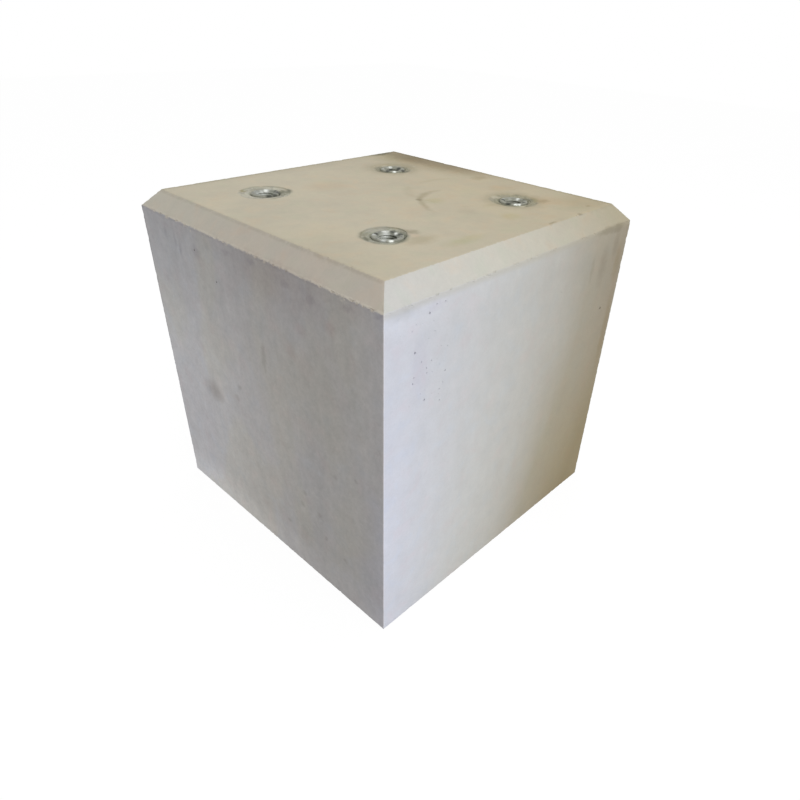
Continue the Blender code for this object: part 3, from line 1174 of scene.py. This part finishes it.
    def plate_marked(self, colour, bare):
        """The plate's mark round each socket, its edge drawn in grime and painted shade, the smears that each
        one has of its own, and painted shade in the gap round the tube.
        """
        on_top = self.on_top
        filled = self.filled()
        mark_tint = self.by_corner({corner: tint for corner, (tint, _, _) in PLATE_MARKS.items()})
        sizes = {corner: (reach * MM, edge, 0.0) for corner, (_, reach, edge) in PLATE_MARKS.items()}
        mark_reach, mark_edge, _ = self.parts(self.by_corner(sizes))
        wobble = (self.cloud(self.at, 7.0 * MM, 3.0) - 0.5) * 6.0 * MM
        past_mark = self.from_axis + filled * FILL_REACH - mark_reach
        fresh = self.cloud(self.at, 3.2 * MM, 3.0, 0.6, 1.0)
        in_mark = on_top * (past_mark + wobble).rise(1.6 * MM, -1.6 * MM)
        mark_tone = self.scaled(self.tinted(1.0, bare, mark_tint), 0.72 + fresh.rise(0.32, 0.66) * 0.5)
        colour = self.mix(in_mark, colour, mark_tone)
        # The recess's edge: grime and painted shade of its wall
        outline = on_top * abs(past_mark + wobble * 0.3).rise(1.4 * MM, 0.1 * MM)
        outline = outline * fresh.rise(0.30, 0.55) * (1.0 - filled)
        colour = self.tinted(outline * mark_edge, colour, (0.52, 0.53, 0.47))
        on_seat = on_top * past_mark.rise(4.0 * MM, -1.0 * MM) * 0.95
        for tint, dabs in SEAT_SMEARS:
            mask = on_seat * self.patches(self.ragged_at, smear_shapes(dabs), 0.75)
            colour = self.mix(mask, colour, self.tinted(1.0, bare, tint))
        # Painted shade in the gap round the tube
        tube_gap_shade = on_top * abs(self.from_axis - 12.8 * MM).rise(1.6 * MM, 0.2 * MM)
        return self.tinted(tube_gap_shade * (0.3 + 0.7 * fresh), colour, (0.54, 0.57, 0.51))

    def hole_shade(self):
        """Where shade is painted into the holes: 1 in every hole, by its depth under the face it is in, and 0
        on the arrises and in the recesses.
        """
        chamfer_depth = (self.from_side + self.under_shoulder) * math.sqrt(0.5)
        depths = (HALF_WIDTH - abs(self.x), HALF_WIDTH - abs(self.y), self.under_top, chamfer_depth, self.z)
        depth = self.from_side.least(self.under_top).least(chamfer_depth).least(self.z)
        nearness = sum((1.0 - value / (4.0 * MM)).most(0.0) for value in depths)
        recess = self.settings.recess_diameter / 2
        outside = self.from_axis.rise(recess - 0.5 * MM, recess + 2.0 * MM)
        return depth.rise(0.22 * MM, 0.6 * MM) * outside * nearness.rise(1.02, 0.98)

    def pinholes(self):
        """1 in the pinholes, which lie in patches."""
        patches = self.cloud(self.at, 18.0 * MM).rise(0.50, 0.62)
        return self.cells(self.at, 3.6 * MM).rise(0.10, 0.05) * patches

    def lay(self):
        """Lay every layer on in turn, then the relief."""
        bare = self.edged(self.mottled(self.clouded(self.face_tones())))
        colour = self.plate_marked(self.stained(bare), bare)
        seen = self.pale.most(self.grey)
        # Painted shade in the air holes, lighter on the pale and grey sides
        colour = self.scaled(colour, 1.0 - self.hole_shade() * (0.40 - 0.25 * seen))
        pinhole = self.pinholes()
        # Painted shade in the pinholes
        colour = self.mix(pinhole * 0.35, colour, self.scaled(colour, 0.6))
        under = self.z.rise(3.0 * MM, 0.5 * MM)
        drag = self.cloud(self.vector("MULTIPLY", self.at, (0.12, 1.0, 1.0)), 2.6 * MM, 3.0, 0.6)
        height = 0.55 * self.cloud(self.at, 0.55 * MM, 3.0, 0.65) + 0.45 * self.mottle - 1.4 * pinhole
        height = height + 0.35 * self.streaks * self.on_side
        height = height + under * (2.6 * drag + 1.2 * self.cells(self.at, 1.7 * MM))
        rough = 0.74 + (self.mottle - 0.5) * 0.25 + (self.grain - 0.5) * 0.15 + under * 0.12
        self.finish(Base_Color=colour, Roughness=rough, Normal=self.bump(height, 0.10 * MM, 0.55))


def concrete_finish(settings):
    """Cast concrete: each face's tone with its light painted in, mottling, stains, marks, holes with painted
    shade, and grain.
    """
    material, sheet = new_finish("cast_concrete_surface", ConcreteSheet, settings)
    sheet.lay()
    return material


class PIER_OT_cast_block(bpy.types.Operator):
    """Cast the block with its worn arrises, air holes, recesses and socket seats"""

    bl_idname = "pier.cast_block"
    bl_label = "Cast the Block"

    def execute(self, context):
        settings = context.scene.pier_casting
        block = gridded_casting(settings.chamfer_leg)
        wear_casting(block, settings)
        cut_away(block, scoops(settings))
        seats = [seat_cutter(corner, 3.1 * number, settings) for number, corner in enumerate(CORNERS)]
        cut_away(block, joined(seats, "seats"))
        cut_away(block, joined([bar_channel(corner, settings.seat_gap) for corner in CORNERS], "channels"))
        close_up(block)
        block.data.materials.clear()
        block.data.materials.append(concrete_finish(settings))
        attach(block, "root")
        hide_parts("concrete_block")
        return {"FINISHED"}


SOCKET_FACETS = 96
THREAD_ROWS = 71
THREAD_START = 1.6 * MM
THREAD_FADE = 2.5 * MM
CREST_SHARE = 0.25
ROOT_SHARE = 0.125
HALF_DRILL_ANGLE = math.radians(59.0)
RIM_ROUNDING = 1.1 * MM
MOUTH_ROUNDING = 1.0 * MM
CROSS_HOLE_GAP = 0.3 * MM


def thread_height(turns):
    """How far out the thread is at a share of a turn: 0 on the crest, 1 in the root."""
    from_root = abs(turns % 1.0 - 0.5)
    flank = 0.5 - CREST_SHARE / 2 - ROOT_SHARE / 2
    return clamped((0.5 - CREST_SHARE / 2 - from_root) / flank)


def cut_thread(socket, centre, settings):
    """Move the bore's wall out along a right-hand helix."""
    minor = settings.minor_diameter / 2
    reach = settings.major_diameter / 2 - minor
    for vertex in socket.data.vertices:
        flat = Vector((vertex.co.x - centre.x, vertex.co.y - centre.y, 0.0))
        below = centre.z - vertex.co.z
        if abs(flat.length - minor) > 0.01 * MM or not 0.0 < below < settings.thread_length:
            continue
        ends = clamped(min(below - THREAD_START, settings.thread_length - below) / THREAD_FADE)
        turns = below / settings.pitch + math.atan2(flat.y, flat.x) / math.tau
        vertex.co += flat.normalized() * reach * thread_height(turns) * ends


def socket_sample(centre, settings):
    """One socket: a round bar, drilled, countersunk, threaded and cross-drilled."""
    mouth = settings.mouth_diameter / 2
    minor = settings.minor_diameter / 2
    bpy.ops.mesh.primitive_cylinder_add(
        vertices=SOCKET_FACETS,
        radius=SOCKET_RADIUS,
        depth=SOCKET_HIGH.z - SOCKET_LOW.z,
        end_fill_type="NGON",
        location=(centre.x, centre.y, (SOCKET_LOW.z + SOCKET_HIGH.z) / 2),
    )
    socket = name_new("zinc_socket")
    sunk = mouth - minor
    half_thread = (settings.thread_length - sunk) / 2

    def off_axis(place):
        return math.hypot(place.x - centre.x, place.y - centre.y)

    def wall_edge(edge):
        a, b = (v.co for v in edge.verts)
        run = (a - b).length
        on_wall = abs(off_axis((a + b) / 2) - minor) < 0.1 * MM
        return on_wall and abs(a.z - b.z) > 0.9 * run and run > 0.9 * half_thread

    def rim_edge(edge, radius):
        places = [v.co for v in edge.verts]
        on_rim = all(abs(off_axis(place) - radius) < 0.02 * MM for place in places)
        return on_rim and all(abs(place.z - centre.z) < 0.01 * MM for place in places)

    with editing(socket):
        pick(socket, "FACE", lambda face: face.normal.z > 0.9)
        bpy.ops.mesh.inset(thickness=(SOCKET_RADIUS - mouth) * math.cos(math.pi / SOCKET_FACETS))
        extruded_ring(centre, mouth, minor, -sunk)
        extruded_ring(centre, minor, minor, -half_thread)
        extruded_ring(centre, minor, minor, -half_thread)
        extruded_ring(centre, minor, minor, settings.thread_length - settings.bore_depth)
        extruded_ring(centre, minor, minor * 0.04, -minor / math.tan(HALF_DRILL_ANGLE))
        for radius, rounding in ((SOCKET_RADIUS, RIM_ROUNDING), (mouth, MOUTH_ROUNDING)):
            pick(socket, "EDGE", lambda edge: rim_edge(edge, radius))
            bpy.ops.mesh.bevel(offset=rounding, segments=4, profile=0.5, affect="EDGES")
        pick(socket, "EDGE", wall_edge)
        bpy.ops.mesh.subdivide(number_cuts=THREAD_ROWS)
    cut_thread(socket, centre, settings)
    middle = Vector((centre.x, centre.y, (BAR_LOW.z + BAR_HIGH.z) / 2))
    cut_away(socket, round_bar("cross_hole", middle, BAR_RADIUS + CROSS_HOLE_GAP, SOCKET_RADIUS * 3))
    close_up(socket)
    return socket


# Spots on the zinc: across and back from the axis, down from the rim, and the reach, in millimetres
# Painted glints on the rims and mouths
GLINT_SPOTS = {
    "front_left": ((6, 9.4, 0, 4.4), (8.1, 0.3, 0.2, 2.4), (-6.1, -9.8, 0.5, 3.2)),
    "back_left": ((5, 7, 0.6, 2.8),),
    "front_right": ((8, 1.5, 0.3, 2.6), (-8, -8.4, 0.3, 3), (-5.6, -10.4, 0.3, 2.4)),
    "back_right": ((3.9, 7.5, 0.2, 3), (-6.8, -9.5, 0.3, 3)),
}
# Painted sheen: the lit far wall of the mouth and bore, and light on the rims
SHEEN_SPOTS = {
    "front_left": (
        (3.8, 6.2, 2.2, 4.6), (-6.1, 7.9, 0, 3.4), (-10.1, -5.8, 0.3, 3.6), (2.3, 6.5, 5, 6),
        (-1.8, 6.6, 7, 6.5), (4.4, 5.4, 10, 6),
    ),
    "back_left": ((5.7, 6, 1.2, 3.4), (1.2, 7.7, 1.6, 3), (-3.2, 5.6, 3, 6), (2, 6.6, 5, 5)),
    "front_right": ((3.6, 6.5, 1.3, 3.4), (7.5, 4, 2, 2.6), (-2, 9.5, 0, 2.4), (-1, 6.9, 5, 5)),
    "back_right": ((-7, 5.4, 0.2, 3.2), (0.5, 8.5, 0.5, 2.6), (1, 6.8, 4, 4)),
}
# Grime and painted shade, on the rims and down in the bore
DIRT_AND_SHADE_SPOTS = {
    "front_left": ((-3.5, 8.6, 0.2, 2.6), (7, 0.4, 4, 5), (9.5, 4, 0, 3.6), (9, -4, 0, 3.4)),
    "back_left": ((-3.6, -10.5, 0.3, 4), (1.5, -11, 0.3, 4), (8, -7.5, 0.3, 4.6), (10.5, -1.5, 0.3, 3.6)),
    "front_right": (
        (-4.6, 7.5, 0.2, 3), (-10.7, -2.5, 0.3, 3.6), (1.5, -8.5, 0.2, 3.6), (10, -5, 0.3, 3.4),
    ),
    "back_right": ((3.3, 6.9, 2.9, 3), (8, -0.6, 0.8, 3.6), (3.6, -10.6, 0.3, 3.6), (-9.5, -3.5, 0.3, 3.4)),
}


def spot_shapes(spots):
    """The shapes of the spots on all four sockets."""
    return [
        (tuple(MOUTHS[corner] + Vector((a, b, -down)) * MM), (reach * MM,) * 3)
        for corner, places in spots.items()
        for a, b, down, reach in places
    ]


def zinc_finish(settings):
    """Hot-dip zinc gone dull, with painted glints and sheen, grime and painted shade in the mouth and bore,
    painted light deep in the bore, and cement on the rim.
    """
    material, sheet = new_finish("socket_zinc")
    place = sheet.place()
    x, y, z = sheet.parts(place)
    radius = from_axis(x, y)
    below = MOUTHS["front_left"].z - z
    mouth = settings.mouth_diameter / 2
    dirt_and_shade_colour = tuple(settings.dirt_and_shade_colour)

    flake = sheet.parts(sheet.cells(place, 2.4 * MM, "Color"))[0]
    cloudy = sheet.cloud(place, 4.0 * MM, 4.0, 0.6)
    fine = sheet.cloud(place, 0.8 * MM, 3.0, 0.6)
    zinc = sheet.scaled(tuple(settings.zinc_colour), 0.75 + 0.3 * flake + (cloudy - 0.5) * 2.4)

    in_mouth = radius.rise(mouth + 0.7 * MM, mouth - 0.3 * MM)
    down_bore = in_mouth * below.rise(1.0 * MM, 5.0 * MM)
    root = radius.rise(settings.minor_diameter / 2 + 0.25 * MM, settings.major_diameter / 2 - 0.1 * MM)
    # Grime and painted shade in the mouth, in the thread's roots and deeper down the bore
    mouth_dirt_and_shade = in_mouth * (0.45 + 0.25 * root + 0.45 * below.rise(6.0 * MM, 25.0 * MM))
    mouth_dirt_and_shade = (mouth_dirt_and_shade + (cloudy - 0.5) * 0.7).most(0.0).least(1.0)
    colour = sheet.mix(mouth_dirt_and_shade, zinc, dirt_and_shade_colour)

    smear = (1.0 - in_mouth) * sheet.cloud(place, 6.0 * MM, 4.0, 0.65, 0.8).rise(0.46, 0.56)
    smear = smear.most(radius.rise(SOCKET_RADIUS - 1.6 * MM, SOCKET_RADIUS - 0.2 * MM) * (0.4 + cloudy))
    colour = sheet.mix(smear.least(1.0) * 0.85, colour, settings.smear_colour)
    # Painted light: the bore's colour is lifted with depth, against the shade there
    colour = sheet.scaled(colour, 1.0 + 0.9 * down_bore)
    # Painted sheen on the far wall of the mouth and bore and on the rims, brighter with depth
    worn = sheet.patches(place, spot_shapes(SHEEN_SPOTS), 0.9)
    colour = sheet.mix(worn, colour, sheet.scaled(tuple(settings.highlight_colour), 0.68 + 0.5 * down_bore))
    film = x.rise(-MM, MM) * (0.3 + 0.7 * cloudy)
    colour = sheet.mix(film, colour, settings.smear_colour)
    # Painted glints on the rims and mouths
    clean = sheet.patches(place, spot_shapes(GLINT_SPOTS), 0.8) * fine.rise(0.25, 0.5)
    colour = sheet.mix(clean, colour, settings.highlight_colour)
    # Grime and painted shade in dark dabs on the rims and in the bore
    dirt_and_shade_dabs = sheet.patches(place, spot_shapes(DIRT_AND_SHADE_SPOTS), 0.7) * (1.0 - clean)
    colour = sheet.mix(dirt_and_shade_dabs * 0.9, colour, sheet.scaled(dirt_and_shade_colour, 0.33 + 0.6 * down_bore))
    smear = smear.most(film).least(1.0) * (1.0 - clean.most(worn))
    metal = (0.85 - 0.80 * smear) * (1.0 - 0.85 * down_bore)
    rough = (0.36 + 0.20 * fine + 0.25 * mouth_dirt_and_shade.most(dirt_and_shade_dabs) + 0.35 * smear).least(1.0)
    height = cloudy * 1.6 + 0.5 * fine + 1.0 * smear + 0.3 * flake
    normal = sheet.bump(height, 0.14 * MM, 0.6)
    sheet.finish(Base_Color=colour, Metallic=metal, Roughness=rough, Normal=normal)
    return material


class PIER_OT_set_sockets(bpy.types.Operator):
    """Turn one threaded socket and set a copy in each corner"""

    bl_idname = "pier.set_sockets"
    bl_label = "Set the Sockets"

    def execute(self, context):
        settings = context.scene.pier_sockets
        finish = zinc_finish(settings)
        first = MOUTHS[CORNERS[0]]
        sample = socket_sample(first, settings)
        sample.data.materials.clear()
        sample.data.materials.append(finish)
        for corner in CORNERS:
            socket = copy_of(sample, "zinc_socket_" + corner)
            socket.location = MOUTHS[corner] - first
            select_only(socket)
            name_new("zinc_socket_" + corner)
            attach(socket, "root")
            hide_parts("threaded_socket_" + corner)
        bpy.data.objects.remove(sample, do_unlink=True)
        return {"FINISHED"}


def bar_finish():
    """Mill scale with rust breaking through it."""
    material, sheet = new_finish("bar_mill_scale")
    place = sheet.place()
    rust = sheet.cloud(place, 5.0 * MM, 5.0, 0.65, 0.6).rise(0.47, 0.58)
    grain = sheet.cloud(place, 0.6 * MM, 3.0, 0.6)
    rust_tone = sheet.ramp(grain, ((0.3, (0.16, 0.060, 0.028)), (0.7, (0.34, 0.150, 0.060))))
    colour = sheet.mix(rust, (0.075, 0.075, 0.080), rust_tone)
    normal = sheet.bump(rust * 0.8 + grain * 0.5, 0.08 * MM, 0.6)
    rough = 0.42 + 0.42 * rust
    sheet.finish(Base_Color=colour, Metallic=0.85 - 0.8 * rust, Roughness=rough, Normal=normal)
    return material


class PIER_OT_finish_bars(bpy.types.Operator):
    """Give the cross bars their mill scale and rust"""

    bl_idname = "pier.finish_bars"
    bl_label = "Finish the Cross Bars"

    def execute(self, context):
        finish = bar_finish()
        for corner in CORNERS:
            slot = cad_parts["anchor_bar_" + corner].material_slots[0]
            slot.link = "OBJECT"
            slot.material = finish
        return {"FINISHED"}


WHITE = (1.0, 1.0, 1.0, 1.0)
FLOOR_TONE = (0.80, 0.80, 0.80, 1.0)
FLOOR_GLOW = 1.06
FLOOR_GLOW_SHARE = 0.88


def seen_share(sheet):
    """1 where the camera looks, straight or by gloss or glass."""
    path = sheet.node("ShaderNodeLightPath", output="Is Camera Ray")
    return path.most(path.other("Is Glossy Ray")).most(path.other("Is Transmission Ray"))


def floor_finish():
    """White to the camera and to gloss, with the block's shadow kept; pale to the light."""
    material, sheet = new_finish("studio_floor")
    pale = sheet.node("ShaderNodeBsdfDiffuse", sockets={"Color": FLOOR_TONE})
    white = sheet.node("ShaderNodeEmission", sockets={"Color": WHITE, "Strength": FLOOR_GLOW})
    glow = seen_share(sheet) * FLOOR_GLOW_SHARE
    surface = sheet.node("ShaderNodeMixShader", sockets={0: glow, 1: pale, 2: white})
    sheet.node("ShaderNodeOutputMaterial", sockets={"Surface": surface})
    return material


def light_world(ambient):
    """Even light from all round, behind a white background."""
    world = bpy.data.worlds.new("studio_world")
    world.use_nodes = True
    bpy.context.scene.world = world
    sheet = Sheet(world.node_tree)
    even = sheet.node("ShaderNodeBackground", sockets={"Color": WHITE, "Strength": ambient})
    white = sheet.node("ShaderNodeBackground", sockets={"Color": WHITE, "Strength": 1.0})
    surface = sheet.node("ShaderNodeMixShader", sockets={0: seen_share(sheet), 1: even, 2: white})
    sheet.node("ShaderNodeOutputWorld", sockets={"Surface": surface})


def add_lamp(name, place, aim, size, power):
    """A square soft lamp that looks at a place."""
    lamp = bpy.data.lights.new(name, "AREA")
    lamp.shape = "SQUARE"
    lamp.size = size
    lamp.energy = power
    holder = bpy.data.objects.new(name, lamp)
    holder.location = place
    holder.rotation_euler = (Vector(aim) - Vector(place)).to_track_quat("-Z", "Y").to_euler()
    bpy.context.scene.collection.objects.link(holder)


FLOOR_SIZE = 8.0
FLOOR_GAP = 0.05 * MM
SENSOR_WIDTH = 36.0
SHIFT = (-0.03383, 0.01858)
# Each lamp's place and size, in metres
LAMPS = {
    "key": ((-0.30, -1.50, 0.95), 1.0),
    "top": ((0.20, 0.10, 1.70), 1.1),
    "glint": ((0.12, -0.65, 1.25), 0.12),
}


class PIER_OT_set_stage(bpy.types.Operator):
    """Lay the floor, hang the lamps and place the camera"""

    bl_idname = "pier.set_stage"
    bl_label = "Set the Stage"

    def execute(self, context):
        settings = context.scene.pier_stage
        bpy.ops.object.select_all(action="DESELECT")
        bpy.ops.mesh.primitive_plane_add(size=FLOOR_SIZE, location=(0.0, 0.0, BLOCK_LOW.z - FLOOR_GAP))
        floor = name_new("studio_floor")
        floor.data.materials.append(floor_finish())
        light_world(settings.ambient)
        middle = (BLOCK_LOW + BLOCK_HIGH) / 2
        for name, (place, size) in LAMPS.items():
            add_lamp(name + "_lamp", place, middle, size, getattr(settings, name + "_power"))
        lens = bpy.data.cameras.new("photo_camera")
        lens.sensor_width = SENSOR_WIDTH
        lens.lens = settings.lens
        lens.shift_x, lens.shift_y = SHIFT
        lens.clip_start = 0.01
        camera = bpy.data.objects.new("photo_camera", lens)
        camera.location = settings.camera_place
        camera.rotation_euler = settings.camera_turn
        context.scene.collection.objects.link(camera)
        context.scene.camera = camera
        context.scene.view_settings.view_transform = "Standard"
        return {"FINISHED"}


STEPS = (PIER_OT_set_stage, PIER_OT_cast_block, PIER_OT_set_sockets, PIER_OT_finish_bars)
GROUPS = {"pier_casting": CastingSettings, "pier_sockets": SocketSettings, "pier_stage": StageSettings}


class PIER_PT_workshop(bpy.types.Panel):
    """The steps that make the block, in their order"""

    bl_idname = "PIER_PT_workshop"
    bl_label = "Pier Block"
    bl_space_type = "VIEW_3D"
    bl_region_type = "UI"
    bl_category = "Pier Block"

    def draw(self, context):
        for step in STEPS:
            self.layout.operator(step.bl_idname)
        for group in GROUPS:
            box = self.layout.box()
            settings = getattr(context.scene, group)
            for name in settings.__annotations__:
                box.prop(settings, name)


CLASSES = (*GROUPS.values(), *STEPS, PIER_PT_workshop)


def register():
    for part in CLASSES:
        bpy.utils.register_class(part)
    for name, group in GROUPS.items():
        setattr(bpy.types.Scene, name, PointerProperty(type=group))


def unregister():
    for name in GROUPS:
        delattr(bpy.types.Scene, name)
    for part in reversed(CLASSES):
        bpy.utils.unregister_class(part)


def main():
    """Make everything in order."""
    register()
    bpy.ops.object.select_all(action="DESELECT")
    bpy.ops.pier.set_stage()
    bpy.ops.pier.cast_block()
    bpy.ops.pier.set_sockets()
    bpy.ops.pier.finish_bars()


if __name__ == "__main__":
    main()
